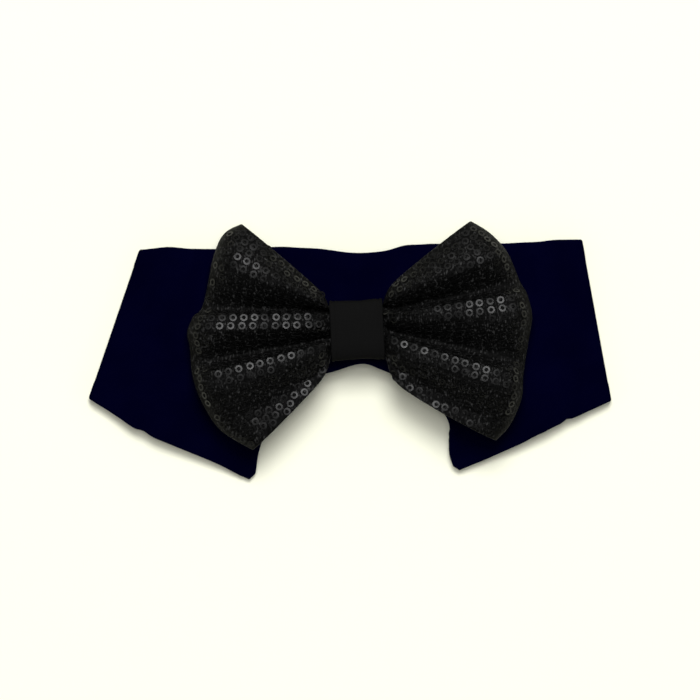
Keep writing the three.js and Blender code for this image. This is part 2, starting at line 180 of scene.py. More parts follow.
# Each row is a line down the leaf, from its top edge to its lower edge, as shares of half LEAF_TOP_WIDTH,
# LEAF_ABOVE, half LEAF_LOW_WIDTH and POINTS_BELOW.
LEAF_COLUMNS = ("top_x", "top_y", "low_x", "low_y", "corner")
LEAF_TABLE = [
    (-0.967, 0.945, -1.015, -0.481, True),
    (-0.84, 0.974, -0.912, -0.6, False),
    (-0.74, 0.96, -0.81, -0.714, False),
    (-0.63, 0.953, -0.6, -0.869, False),
    (-0.53, 0.965, -0.41, -1.031, True),
    (-0.49, 0.967, -0.387, -0.991, True),
    (-0.42, 0.97, -0.366, -0.793, False),
    (-0.32, 0.976, -0.295, -0.534, False),
    (-0.2, 0.96, -0.186, -0.353, False),
    (-0.09, 0.93, -0.076, -0.279, False),
    (0.022, 0.906, 0.019, -0.234, False),
    (0.12, 0.936, 0.086, -0.269, False),
    (0.225, 0.997, 0.19, -0.362, False),
    (0.33, 1.012, 0.286, -0.491, False),
    (0.42, 1.015, 0.349, -0.638, False),
    (0.49, 1.018, 0.35, -0.836, False),
    (0.55, 1.02, 0.366, -0.941, True),
    (0.585, 1.024, 0.39, -0.966, True),
    (0.7, 1.027, 0.59, -0.814, False),
    (0.81, 1.044, 0.75, -0.669, False),
    (0.9, 1.06, 0.85, -0.586, False),
    (1.001, 1.065, 0.961, -0.495, True),
]
LEAF_ROWS = [dict(zip(LEAF_COLUMNS, row)) for row in LEAF_TABLE]
LAST_ROW = len(LEAF_ROWS) - 1

# Dents pressed into the leaf: middle x and y as shares of half LEAF_LOW_WIDTH and POINTS_BELOW, half width,
# half length, lean to the side, depth.
LEAF_DENTS = [
    (-0.77, -0.50, 2.6, 9.5, 0.04, 1.5),
    (-0.64, -0.42, 4.0, 6.5, -0.3, 0.7),
    (-0.82, -0.22, 3.4, 11.0, 0.2, 0.5),
    (0.655, -0.60, 2.8, 7.0, 0.25, 1.3),
    (0.83, -0.2, 3.2, 15.0, -0.16, 0.6),
    (0.93, 0.1, 3.5, 12.0, -0.2, 0.5),
]

# Small puckers drawn into the lower edge: place among the rows, half width in rows, depth.
EDGE_DIPS = [(1.97, 0.13, 0.9), (19.45, 0.13, 0.8)]

TAIL_MIDDLE = COLLAR_WALL / 2
UPPER_TAIL_MIDDLE = TAIL_MIDDLE + COLLAR_WALL + TAPE_THICKNESS + 2 * GAP
LEAF_CROWN = UPPER_TAIL_MIDDLE + COLLAR_WALL + NECK_GAP


def smooth_step(x):
    """0 below 0 and 1 above 1, with a soft start and end between them."""
    x = min(max(x, 0.0), 1.0)
    return x * x * (3 - 2 * x)


def value_at(rows, column, place):
    """A column's value between rows: a smooth curve that keeps the rows marked as corners."""
    i = min(int(place), len(rows) - 2)
    share = place - i
    here, there = rows[i][column], rows[i + 1][column]
    straight = there - here
    sharp_start = i == 0 or rows[i].get("corner")
    sharp_end = i == len(rows) - 2 or rows[i + 1].get("corner")
    leaves = straight if sharp_start else (there - rows[i - 1][column]) / 2
    arrives = straight if sharp_end else (rows[i + 2][column] - here) / 2
    s2, s3 = share**2, share**3
    from_here = (2 * s3 - 3 * s2 + 1) * here + (s3 - 2 * s2 + share) * leaves
    return from_here + (3 * s2 - 2 * s3) * there + (s3 - s2) * arrives


def wander(x, y, z, reach):
    """Smooth chance between about -1 and 1 that changes over the given reach."""
    return noise.noise(Vector((x, y, z)) / reach)


def leaf_edges(place):
    """The top and the low end of a line down the leaf, at a place among its rows."""
    top_x, top_y, low_x, low_y = (value_at(LEAF_ROWS, column, place) for column in LEAF_COLUMNS[:4])
    top = Vector((top_x * LEAF_TOP_WIDTH / 2, top_y * LEAF_ABOVE))
    low = Vector((low_x * LEAF_LOW_WIDTH / 2, low_y * POINTS_BELOW))
    inside = min(place, LAST_ROW - place, 1.0)
    top.y += EDGE_WANDER * inside * wander(top.x, 0, 3, 9)
    low.y += EDGE_WANDER * inside * wander(low.x, low.y, 9, 8)
    for middle, width, depth in EDGE_DIPS:
        low.y += depth * math.exp(-(((place - middle) / width) ** 2))
    return top, low


LEFT_FOLD = leaf_edges(0)
RIGHT_FOLD = leaf_edges(LAST_ROW)


def distance_to_fold(point, fold):
    """How far a point is from a side fold, seen from above."""
    line = fold[1] - fold[0]
    to = point - fold[0]
    return abs(line.x * to.y - line.y * to.x) / line.length


def sag_at(y):
    """How far the leaf hangs down towards its points."""
    share = min(max((-SAG_START - y) / (POINTS_BELOW - SAG_START), 0.0), 1.1)
    return POINT_SAG * share**SAG_POWER


def fold_rise_at(y):
    """How far a side fold lifts the leaf off the tail behind it."""
    return FOLD_RISE * (1 - 0.9 * sag_at(y) / POINT_SAG)


def roundness(distance, rise):
    """The rise of a round side fold, from 0 at the fold to 1 where its round stretch ends."""
    return math.sqrt(1 - (1 - min(distance / (rise / 2), 1.0)) ** 2)


EDGE_ROUND_STEPS = 4
ACROSS_STEPS = 44
TAIL_STEPS = 60
FOLD_STEPS = 8
STEPS_PER_ROW = 9
LEAF_ROW_PITCH = 11


def stops(length, steps, rounding, round_start=True):
    """Distances along a line with rounded ends, and the share of the wall's thickness at each."""
    turns = [k / EDGE_ROUND_STEPS * math.pi / 2 for k in range(EDGE_ROUND_STEPS)]
    curve = [(rounding * (1 - math.cos(t)), math.sin(t)) for t in turns]
    low, high = (rounding if round_start else 0.0), length - rounding
    middle = [(low + (high - low) * k / steps, 1.0) for k in range(steps + 1)]
    return (curve if round_start else []) + middle + [(length - d, s) for d, s in reversed(curve)]


def leaf_point(place, distance_down):
    """A point half way through the leaf's wall, a distance down one of its lines."""
    top, low = leaf_edges(place)
    point = top.lerp(low, distance_down / (low - top).length)
    inside = min(distance_to_fold(point, LEFT_FOLD), distance_to_fold(point, RIGHT_FOLD))
    rise = fold_rise_at(point.y)
    climb = smooth_step((inside - rise / 2) / CROWN_REACH)
    crown = LEAF_CROWN - sag_at(point.y)
    height = TAIL_MIDDLE + rise / 2 * (1 + roundness(inside, rise))
    height += climb * max(crown - TAIL_MIDDLE - rise, 0)
    for x, y, half_width, half_length, lean, depth in LEAF_DENTS:
        along = point.y - y * POINTS_BELOW
        across = point.x - x * LEAF_LOW_WIDTH / 2 - lean * along
        height -= depth * climb * math.exp(-((across / half_width) ** 2) - (along / half_length) ** 2)
    beside_bow = smooth_step((abs(point.x) - RIPPLE_START) / RIPPLE_FADE)
    height += CLOTH_RIPPLE * climb * beside_bow * wander(point.x, point.y, 0, RIPPLE_REACH)
    return Vector((point.x, point.y, height))


def leaf_line(place):
    """A line down the leaf: points half way through its wall, the share of its thickness that each has,
    and how far in from its sewn edges each lies."""
    top, low = leaf_edges(place)
    span = (low - top).length
    across = stops(span, ACROSS_STEPS, COLLAR_WALL / 2)
    return [(leaf_point(place, d), share, min(d, span - d)) for d, share in across]


def tail_line(fold, end_x, lift, along, thickness):
    """The same for a line down a tail: along is 0 at its side fold and 1 at its free end."""
    top = fold[0].lerp(Vector((end_x, TAIL_ABOVE)), along)
    low = fold[1].lerp(Vector((end_x, -TAIL_BELOW)), along)
    span = (low - top).length
    side = math.copysign(1, fold[0].x)
    line = []
    for distance, share in stops(span, ACROSS_STEPS, COLLAR_WALL / 2):
        point = top.lerp(low, distance / span)
        rise = fold_rise_at(point.y)
        from_ramp = TAIL_LAP / 2 + TAIL_RAMP + TAIL_MARGIN - side * point.x
        height = TAIL_MIDDLE + rise / 2 * (1 - roundness(distance_to_fold(point, fold), rise))
        height += lift * smooth_step(from_ramp / TAIL_RAMP)
        line.append((Vector((point.x, point.y, height)), share * thickness, min(distance, span - distance)))
    return line


def fold_shares(length):
    """Places close together on the round side fold, as shares of a length that starts there."""
    turns = [k / FOLD_STEPS * math.pi / 2 for k in range(1, FOLD_STEPS)]
    return [FOLD_RISE / 2 / length * (1 - math.cos(turn)) for turn in turns]


def tail_lines(fold, end_x, lift):
    """The lines down a tail, from its side fold to its free end."""
    length = abs(end_x - (fold[0].x + fold[1].x) / 2)
    # The first two of these would lie in the round fold.
    flat_run = stops(length, TAIL_STEPS, COLLAR_WALL / 2, round_start=False)[2:]
    run = [(share, 1.0) for share in fold_shares(length)] + [(d / length, share) for d, share in flat_run]
    return [tail_line(fold, end_x, lift, along, thickness) for along, thickness in run]


def collar_lines():
    """The band from the free end of its upper tail, over the leaf, to the free end of its lower tail."""
    upper = tail_lines(RIGHT_FOLD, -TAIL_LAP / 2, UPPER_TAIL_MIDDLE - TAIL_MIDDLE)
    lower = tail_lines(LEFT_FOLD, TAIL_LAP / 2, 0)
    near = fold_shares(LEAF_ROW_PITCH)
    places = [k / STEPS_PER_ROW for k in range(LAST_ROW * STEPS_PER_ROW, -1, -1)]
    places = [place for place in places if near[-1] < place < LAST_ROW - near[-1]]
    places = [LAST_ROW] + [LAST_ROW - share for share in near] + places + near[::-1] + [0]
    return upper[::-1] + [leaf_line(place) for place in places] + lower


def wall_half(from_edge, along):
    """Half the collar's thickness, a distance in from its sewn edge."""
    field = 1 - FIELD_THINNING * smooth_step((from_edge - SEAM_WIDTH) / SEAM_STEP)
    near_seam = 1 - smooth_step(from_edge / (SEAM_WIDTH + SEAM_STEP))
    pucker = EDGE_PUCKER * wander(along, from_edge * 0.3, 5, PUCKER_REACH) * near_seam
    # The seam swells it a little in one place and draws it in a little in the next.
    return COLLAR_WALL / 2 * (field - max(pucker, -0.1) * 0.6 - 0.02)


def cloth_object(name, outer, inner, along, across, ring=False):
    """A closed wall of cloth between two grids of points, in millimetres. Points that the grids share
    close its edges. Its UV map is the cloth's own length and width in metres."""
    rows, columns = len(outer), len(outer[0])
    points, number = [], {}
    for side, grid in enumerate((outer, inner)):
        for i in range(rows):
            for j in range(columns):
                if side and (inner[i][j] - outer[i][j]).length < 1e-4:
                    number[1, i, j] = number[0, i, j]
                else:
                    number[side, i, j] = len(points)
                    points.append(grid[i][j] * MM)
    faces, places = [], []
    for side in (0, 1):
        for i in range(rows if ring else rows - 1):
            for j in range(columns - 1):
                corners = [(i, j), (i + 1, j), (i + 1, j + 1), (i, j + 1)]
                corners = corners if side == 0 else corners[::-1]
                faces.append([number[side, a % rows, b] for a, b in corners])
                places.append([(along[a] * MM, across[a % rows][b] * MM) for a, b in corners])
    mesh = bpy.data.meshes.new(name)
    mesh.from_pydata(points, [], faces)
    uv_map = mesh.uv_layers.new(name="cloth")
    uv_map.data.foreach_set("uv", np.array(places, dtype=np.float32).ravel())
    mesh.polygons.foreach_set("use_smooth", [True] * len(faces))
    mesh.update()
    cloth = bpy.data.objects.new(name, mesh)
    bpy.context.collection.objects.link(cloth)
    return cloth


def grid_normals(grid):
    """Unit normals of a grid of points, along (next row) x (next column)."""
    by_row, by_column = np.gradient(np.array(grid), axis=(0, 1))
    normals = np.cross(by_row, by_column)
    return normals / np.linalg.norm(normals, axis=2, keepdims=True)


def run_lengths(lines):
    """How far each point lies along its line, for a line of points or a list of such lines."""
    steps = np.linalg.norm(np.diff(np.array(lines), axis=-2), axis=-1)
    return np.insert(np.cumsum(steps, axis=-1), 0, 0.0, axis=-1)


def middle_column(grid):
    """The middle point of each line of a grid."""
    return [line[len(line) // 2] for line in grid]


band = collar_lines()
band_middle = [[point for point, _, _ in line] for line in band]
band_along = run_lengths(middle_column(band_middle))
band_faces = []
for side in (1, -1):
    face = []
    for line, normals, along in zip(band, grid_normals(band_middle), band_along):
        face.append(
            [
                point + Vector(normal) * side * thickness * wall_half(from_edge, along)
                for (point, thickness, from_edge), normal in zip(line, normals)
            ]
        )
    band_faces.append(face)
collar = cloth_object("collar_band", *band_faces, band_along, run_lengths(band_middle))

# A wave texture's bands are this far apart at scale 1.
WAVE_PERIOD = 0.31416
# The weave is drawn at 0.5 mm, four times as coarse as the real one, so that it shows at all.
THREAD_PITCH = 0.5


def plain_weave(tree, cloth_place, distortion):
    """Threads along and across the cloth, standing highest where they cross."""
    inputs = {
        "Vector": cloth_place.outputs["UV"],
        "Scale": WAVE_PERIOD / (THREAD_PITCH * MM),
        "Distortion": distortion,
    }
    along, across = (add_node(tree, "ShaderNodeTexWave", inputs, bands_direction=way) for way in ("X", "Y"))
    heights = {0: along.outputs["Fac"], 1: across.outputs["Fac"]}
    return add_node(tree, "ShaderNodeMath", heights, operation="MULTIPLY")


# Cotton poplin, piece-dyed navy: a fine plain weave, matte, with hardly any sheen.
poplin, tree, shader = new_material("cotton poplin, dyed navy")
cloth_place = add_node(tree, "ShaderNodeUVMap", uv_map="cloth")
weave = plain_weave(tree, cloth_place, 0.6)
worn = add_node(
    tree, "ShaderNodeTexNoise", {"Vector": cloth_place.outputs["UV"], "Scale": 60.0, "Detail": 4.0}
)
navy = add_node(tree, "ShaderNodeValToRGB", {"Fac": worn.outputs["Fac"]})
navy.color_ramp.elements[0].position = 0.3
navy.color_ramp.elements[0].color = linear_colour("010117")
navy.color_ramp.elements[1].position = 0.75
navy.color_ramp.elements[1].color = linear_colour("02021d")
woven = add_node(tree, "ShaderNodeMix", data_type="RGBA", blend_type="MULTIPLY")
woven.inputs[0].default_value = 0.25
tree.links.new(navy.outputs["Color"], woven.inputs[6])
tree.links.new(weave.outputs["Value"], woven.inputs[7])
tree.links.new(woven.outputs[2], shader.inputs["Base Color"])
bump_inputs = {"Height": weave.outputs["Value"], "Strength": 0.35, "Distance": 0.12 * MM}
bump = add_node(tree, "ShaderNodeBump", bump_inputs)
tree.links.new(bump.outputs["Normal"], shader.inputs["Normal"])
shader.inputs["Roughness"].default_value = 0.9
shader.inputs["Specular IOR Level"].default_value = 0.0
collar.data.materials.append(poplin)
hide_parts("collar")
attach(collar, "root")

# The closure tape
#
# A patch of nylon hook-and-loop tape between the lapped tails: a woven ribbon with moulded hooks below, and
# one with brushed loops above, pressed together. It is sewn to the tails along its border.

TAPE_LENGTH = 32
TAPE_WIDTH = 30
TAPE_CLIP = 1.5
TAPE_RIB_PITCH = 0.6
RIBBON_THICKNESS = 0.55
HOOK_PITCH = 1.25
HOOK_THICKNESS = 0.22
HOOK_MARGIN = 1
HOOK_LEAN = 0.3
tape_low = COLLAR_WALL + GAP
tape_y = (TAIL_ABOVE - TAIL_BELOW) / 2


def ribbon_points(low, high):
    """The eight corners of a ribbon whose own corners are clipped, going round it, at two heights."""
    x, y = TAPE_LENGTH / 2, TAPE_WIDTH / 2
    right = [(x - TAPE_CLIP, -y), (x, -y + TAPE_CLIP), (x, y - TAPE_CLIP), (x - TAPE_CLIP, y)]
    outline = right + [(-px, -py) for px, py in right]
    return [(px, py + tape_y, z) for z in (low, high) for px, py in outline]


tape_points, tape_faces = [], []
for low in (tape_low, tape_low + TAPE_THICKNESS - RIBBON_THICKNESS):
    start = len(tape_points)
    tape_points += ribbon_points(low, low + RIBBON_THICKNESS)
    below, above = list(range(start, start + 8)), list(range(start + 8, start + 16))
    tape_faces += [below[::-1], above]
    tape_faces += [[below[k - 1], below[k], above[k], above[k - 1]] for k in range(8)]
tape_mesh = bpy.data.meshes.new("closure_ribbons")
tape_mesh.from_pydata([tuple(c * MM for c in point) for point in tape_points], [], tape_faces)
closure = bpy.data.objects.new("closure_ribbons", tape_mesh)
bpy.context.collection.objects.link(closure)

# Nylon tape, woven and dyed black: a dry, faintly lit surface.
nylon_tape, tree, shader = new_material("woven nylon tape")
place = add_node(tree, "ShaderNodeTexCoord")
rib = add_node(
    tree,
    "ShaderNodeTexWave",
    {"Vector": place.outputs["Object"], "Scale": WAVE_PERIOD / (TAPE_RIB_PITCH * MM), "Distortion": 0.4},
    bands_direction="X",
)
tape_colour = add_node(tree, "ShaderNodeValToRGB", {"Fac": rib.outputs["Fac"]})
tape_colour.color_ramp.elements[0].color = linear_colour("0a0a0d")
tape_colour.color_ramp.elements[1].color = linear_colour("18181c")
tree.links.new(tape_colour.outputs["Color"], shader.inputs["Base Color"])
bump = add_node(tree, "ShaderNodeBump", {"Height": rib.outputs["Fac"], "Strength": 0.5, "Distance": 0.1 * MM})
tree.links.new(bump.outputs["Normal"], shader.inputs["Normal"])
shader.inputs["Roughness"].default_value = 0.85
shader.inputs["Specular IOR Level"].default_value = 0.2
tape_mesh.materials.append(nylon_tape)


def new_tree(name, sizes):
    """A Geometry Nodes tree with named inputs for its sizes, and its first and last nodes."""
    tree = bpy.data.node_groups.new(name, "GeometryNodeTree")
    tree.interface.new_socket("Geometry", in_out="INPUT", socket_type="NodeSocketGeometry")
    for socket_name, value in sizes.items():
        socket = tree.interface.new_socket(socket_name, in_out="INPUT", socket_type="NodeSocketFloat")
        socket.default_value = value
    tree.interface.new_socket("Geometry", in_out="OUTPUT", socket_type="NodeSocketGeometry")
    return tree, tree.nodes.new("NodeGroupInput"), tree.nodes.new("NodeGroupOutput")


def end_tree(tree, tree_out, geometry, material):
    """Makes what a tree has set out one plain mesh of a material, and gives it out."""
    real = add_node(tree, "GeometryNodeRealizeInstances", {"Geometry": geometry})
    inputs = {"Geometry": real.outputs["Geometry"], "Material": material}
    finished = add_node(tree, "GeometryNodeSetMaterial", inputs)
    tree.links.new(finished.outputs["Geometry"], tree_out.inputs["Geometry"])


def grown_by(tree, base, name, sizes):
    """The plain mesh that a tree makes of a base object, which it then replaces."""
    modifier = base.modifiers.new(name, "NODES")
    modifier.node_group = tree
    for item in tree.interface.items_tree:
        if item.in_out == "INPUT" and item.name in sizes:
            modifier[item.identifier] = sizes[item.name]
    base.update_tag()
    evaluated = base.evaluated_get(bpy.context.evaluated_depsgraph_get())
    mesh = bpy.data.meshes.new_from_object(evaluated)
    mesh.name = name
    base.modifiers.clear()
    made = bpy.data.objects.new(name, mesh)
    bpy.context.collection.objects.link(made)
    bpy.data.objects.remove(base)
    return made


def base_object(name, points, edges=(), directions=None):
    """Loose points, and the edges between them, for a tree to build on. Directions are named vectors."""
    mesh = bpy.data.meshes.new(name)
    mesh.from_pydata([tuple(point) for point in points], list(edges), [])
    for attribute_name, vectors in (directions or {}).items():
        attribute = mesh.attributes.new(attribute_name, "FLOAT_VECTOR", "POINT")
        attribute.data.foreach_set("vector", np.array([tuple(v) for v in vectors], dtype=np.float32).ravel())
    base = bpy.data.objects.new(name, mesh)
    bpy.context.collection.objects.link(base)
    return base


hook_sizes = {"Height": (TAPE_THICKNESS - 2 * RIBBON_THICKNESS) * MM, "Thickness": HOOK_THICKNESS * MM}
tree, sizes_in, tree_out = new_tree("moulded hooks", hook_sizes)
bristle = add_node(
    tree,
    "GeometryNodeMeshCylinder",
    {"Vertices": 5, "Radius": sizes_in.outputs["Thickness"], "Depth": sizes_in.outputs["Height"]},
)
lean = add_node(
    tree,
    "FunctionNodeRandomValue",
    {"Min": (-HOOK_LEAN, -HOOK_LEAN, 0.0), "Max": (HOOK_LEAN, HOOK_LEAN, 6.28), "Seed": 4},
    data_type="FLOAT_VECTOR",
)
spots = add_node(tree, "GeometryNodeMeshToPoints", {"Mesh": sizes_in.outputs["Geometry"]})
set_out = add_node(
    tree,
    "GeometryNodeInstanceOnPoints",
    {
        "Points": spots.outputs["Points"],
        "Instance": bristle.outputs["Mesh"],
        "Rotation": lean.outputs["Value"],
    },
)
end_tree(tree, tree_out, set_out.outputs["Instances"], nylon_tape)
field_length, field_width = TAPE_LENGTH - 2 * HOOK_MARGIN, TAPE_WIDTH - 2 * HOOK_MARGIN
hook_spots = []
for i in range(int(field_length / HOOK_PITCH) + 1):
    for j in range(int(field_width / HOOK_PITCH) + 1):
        x = i * HOOK_PITCH - field_length / 2
        y = tape_y + j * HOOK_PITCH - field_width / 2
        hook_spots.append((x * MM, y * MM, (tape_low + TAPE_THICKNESS / 2) * MM))
hooks = grown_by(tree, base_object("hook_places", hook_spots), "closure_hooks", hook_sizes)
for piece in (closure, hooks):
    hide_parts("closure_tape")
    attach(piece, "root")

# The bow
#
# A loop of black sequin cloth, two layers on stiff net, whose wings stand out hollow. It is pinched at the
# waist into three ribs a side with two deep folds between them, and each wing turns over in a blunt fold
# at its outer end. The wings are open along their upper and lower edges.

KNOT_WIDTH = 21.4
KNOT_HEIGHT = 24.8
KNOT_DEPTH = 12.6
KNOT_WALL = 1.5
KNOT_DIP = 0.6
KNOT_TILT = math.radians(2.7)
BOW_WALL = 1.6
BOW_WIDTH = 138
BOW_HEIGHT = 92
BOW_FRONT = 15
WING_SPREAD = 6
SPREAD_REACH = 0.04
SPREAD_POWER = 1.5
RIB_SPRING = 4.5
NOSE_POWER = 14
BACK_ROUNDING = 0.4
GATHER_DEPTH = 0.7
GATHER_START = 0.02
GATHER_REACH = 0.16
GATHER_RATE = 7.9
BOW_RIPPLE = 0.5
CREASE_SOFTNESS = 0.13

# Each row is a line of the cloth from the knot to the outer end, from the wing's top edge to its bottom
# edge. knot is its place in the pinched waist, as a share of half the waist's height. spread is how far it
# springs out beside the knot, as a share of WING_SPREAD. out_x and out_y are where it ends, as shares of
# half the bow's width and height. pinch, middle and end are how high it stands, as a share of the waist's
# half depth and then as shares of BOW_FRONT. back is how deep the layer behind it lies.
WING_COLUMNS = ("knot", "spread", "out_x", "out_y", "pinch", "middle", "end", "back", "corner")
LEFT_WING = [
    (0.96, 0.6, -0.661, 0.93, 0.35, 0.44, 0.46, 0.6, False),
    (0.94, 0.42, -0.774, 0.835, 0.6, 0.87, 0.62, 0.68, False),
    (0.9, 0.22, -0.835, 0.63, 0.78, 1.15, 0.78, 0.8, False),
    (0.87, 0.1, -0.867, 0.39, 0.6, 0.79, 0.56, 0.83, False),
    (0.82, 0.0, -0.9, 0.19, 0.0, 0.24, 0.34, 0.86, False),
    (0.7, 0.0, -0.95, 0.125, 0.76, 0.93, 0.8, 0.94, True),
    (0.24, 0.0, -0.986, -0.02, 0.96, 1.0, 0.89, 0.98, False),
    (0.0, 0.0, -0.97, -0.15, 0.7, 0.7, 0.7, 0.98, False),
    (-0.18, -0.2, -0.964, -0.29, 0.0, 0.26, 0.42, 0.97, False),
    (-0.28, -0.25, -0.956, -0.4, 0.86, 0.99, 0.81, 0.97, True),
    (-0.5, -0.4, -0.91, -0.6, 0.88, 0.98, 0.82, 0.95, False),
    (-0.82, -0.8, -0.795, -0.87, 0.5, 0.52, 0.44, 0.8, False),
    (-0.96, -0.95, -0.587, -1.06, 0.5, 0.62, 0.26, 0.6, False),
]
RIGHT_WING = [
    (0.96, 0.87, 0.649, 0.957, 0.35, 0.44, 0.46, 0.6, False),
    (0.95, 0.62, 0.768, 0.848, 0.6, 0.87, 0.62, 0.68, False),
    (0.94, 0.36, 0.864, 0.696, 0.68, 1.17, 0.78, 0.72, False),
    (0.93, 0.0, 0.907, 0.565, 0.56, 0.86, 0.66, 0.76, False),
    (0.91, -0.35, 0.948, 0.413, 0.0, 0.26, 0.5, 0.8, False),
    (0.84, -0.4, 0.985, 0.33, 0.84, 0.95, 0.8, 0.86, True),
    (0.5, 0.0, 1.017, 0.13, 0.98, 1.05, 0.9, 0.96, False),
    (0.22, 0.0, 0.999, -0.06, 0.76, 0.8, 0.77, 0.98, False),
    (-0.03, -0.1, 0.976, -0.27, 0.0, 0.26, 0.42, 0.98, False),
    (-0.13, -0.15, 0.963, -0.41, 0.84, 0.98, 0.81, 0.98, True),
    (-0.4, -0.55, 0.955, -0.6, 0.88, 0.98, 0.82, 0.96, False),
    (-0.8, -1.15, 0.887, -0.83, 0.5, 0.52, 0.46, 0.82, False),
    (-0.96, -1.6, 0.797, -0.974, 0.5, 0.62, 0.3, 0.6, False),
]
WINGS = {
    "left": [dict(zip(WING_COLUMNS, row)) for row in LEFT_WING],
    "right": [dict(zip(WING_COLUMNS, row)) for row in RIGHT_WING],
}
LAST_LINE = len(LEFT_WING) - 1
WING_MIDDLE = LEAF_CROWN + COLLAR_WALL / 2 + GAP + KNOT_DEPTH / 2
WAIST_HALF_HEIGHT = KNOT_HEIGHT / 2 - KNOT_WALL - KNOT_DIP - GAP
WAIST_HALF_DEPTH = KNOT_DEPTH / 2 - KNOT_WALL - GAP

WING_STEPS = 46
WING_ALONGS = [math.sin(k / WING_STEPS * math.pi / 2) ** 1.3 for k in range(WING_STEPS + 1)]


def askew(x, y):
    """A place that turns with the tilted knot."""
    return Matrix.Rotation(KNOT_TILT, 2) @ Vector((x, y))


def wing_point(rows, place, along, front):
    """A point of a wing's outer face: along is 0 at the knot and 1 at the outer end."""
    below, above = max(place - CREASE_SOFTNESS, 0), min(place + CREASE_SOFTNESS, LAST_LINE)

    def column(name):
        """A column's value at this place, softened where a crease runs along a row."""
        return (value_at(rows, name, below) + value_at(rows, name, above)) / 2

    side = math.copysign(1, rows[0]["out_x"])
    knot = askew(side * KNOT_WIDTH / 2, column("knot") * WAIST_HALF_HEIGHT)
    out = Vector((column("out_x") * BOW_WIDTH / 2, column("out_y") * BOW_HEIGHT / 2))
    flat = knot.lerp(out, along)
    sprung = 1 - math.exp(-along / SPREAD_REACH)
    flat.y += column("spread") * WING_SPREAD * (1 - along**SPREAD_POWER) * sprung
    nose = math.sqrt(max(1 - along**NOSE_POWER, 0.0))
    ripple = BOW_RIPPLE * smooth_step(along * 3)
    if front:
        rise = (1 - along) ** 2 * column("pinch") * (WAIST_HALF_DEPTH + RIB_SPRING * sprung)
        rise += 2 * along * (1 - along) * column("middle") * BOW_FRONT + along**2 * column("end") * BOW_FRONT
        near_knot = (1 - math.exp(-along / GATHER_START)) * math.exp(-along / GATHER_REACH)
        uneven = 0.6 + 0.4 * math.sin(place * 2.3 + 1)
        rise += GATHER_DEPTH * near_knot * math.sin(place * GATHER_RATE + side) * uneven
        rise += ripple * wander(flat.x, flat.y, 4, 13)
        return Vector((flat.x, flat.y, WING_MIDDLE + nose * rise))
    waist_back = column("back") * WAIST_HALF_DEPTH
    wing_back = (1 - BACK_ROUNDING * (1 - column("back"))) * KNOT_DEPTH / 2
    fall = waist_back + (wing_back - waist_back) * smooth_step(along * 3)
    fall -= ripple * abs(wander(flat.x, flat.y, 14, 15))
    return Vector((flat.x, flat.y, WING_MIDDLE - nose * fall))


def wing_line(rows, place):
    """One line of a wing's cloth, over the front and back behind: its outer points and its inner ones."""

    def waist(name):
        """A column's value half way between the two wings."""
        return (value_at(WINGS["left"], name, place) + value_at(WINGS["right"], name, place)) / 2

    centre = askew(0, waist("knot") * WAIST_HALF_HEIGHT)
    outer = [Vector((centre.x, centre.y, WING_MIDDLE + waist("pinch") * WAIST_HALF_DEPTH))]
    outer += [wing_point(rows, place, along, True) for along in WING_ALONGS]
    outer += [wing_point(rows, place, along, False) for along in WING_ALONGS[-2::-1]]
    outer += [Vector((centre.x, centre.y, WING_MIDDLE - waist("back") * WAIST_HALF_DEPTH))]
    away = (wing_point(rows, place, 1.0, True) - wing_point(rows, place, 0.0, True)).xy.normalized()
    wall = Vector((0, 0, BOW_WALL))
    inner = [outer[0] - wall]
    for before, point, after in zip(outer, outer[1:], outer[2:]):
        step = after - before
        inward = Vector((away.x * step.z, away.y * step.z, -step.xy.dot(away)))
        inner.append(point + inward.normalized() * BOW_WALL)
    return outer, inner + [outer[-1] + wall]


# The places of the bow's lines among the rows: close together on its two rounded open edges, and the share
# of the wall's thickness at each.
RIM_REACH = 0.1
RIM_STEPS = 5
LINES_PER_ROW = 8
rim_turns = [k / RIM_STEPS * math.pi / 2 for k in range(RIM_STEPS)]
rim_places = [RIM_REACH * (1 - math.cos(turn)) for turn in rim_turns]
rim_shares = [math.sin(turn) for turn in rim_turns]
inside_steps = LAST_LINE * LINES_PER_ROW
inside_places = [RIM_REACH + (LAST_LINE - 2 * RIM_REACH) * k / inside_steps for k in range(inside_steps + 1)]
bow_places = rim_places + inside_places + [LAST_LINE - place for place in rim_places[::-1]]
bow_shares = rim_shares + [1.0] * len(inside_places) + rim_shares[::-1]


def bow_grids():
    """The bow's outer and inner face: lines from its top to its bottom edge, in a ring round both wings."""
    loops = ([], [])
    for place, share in zip(bow_places, bow_shares):
        left, right = wing_line(WINGS["left"], place), wing_line(WINGS["right"], place)
        faces = [left[face] + right[face][-2:0:-1] for face in (0, 1)]
        middles = [(a + b) / 2 for a, b in zip(*faces)]
        for loop, face in zip(loops, faces):
            loop.append([middle + (point - middle) * share for middle, point in zip(middles, face)])
    return [list(zip(*loop)) for loop in loops]


bow_outer, bow_inner = bow_grids()
bow_along = run_lengths(middle_column(bow_outer + bow_outer[:1]))
bow = cloth_object("bow_cloth", bow_outer, bow_inner, bow_along, run_lengths(bow_outer), ring=True)

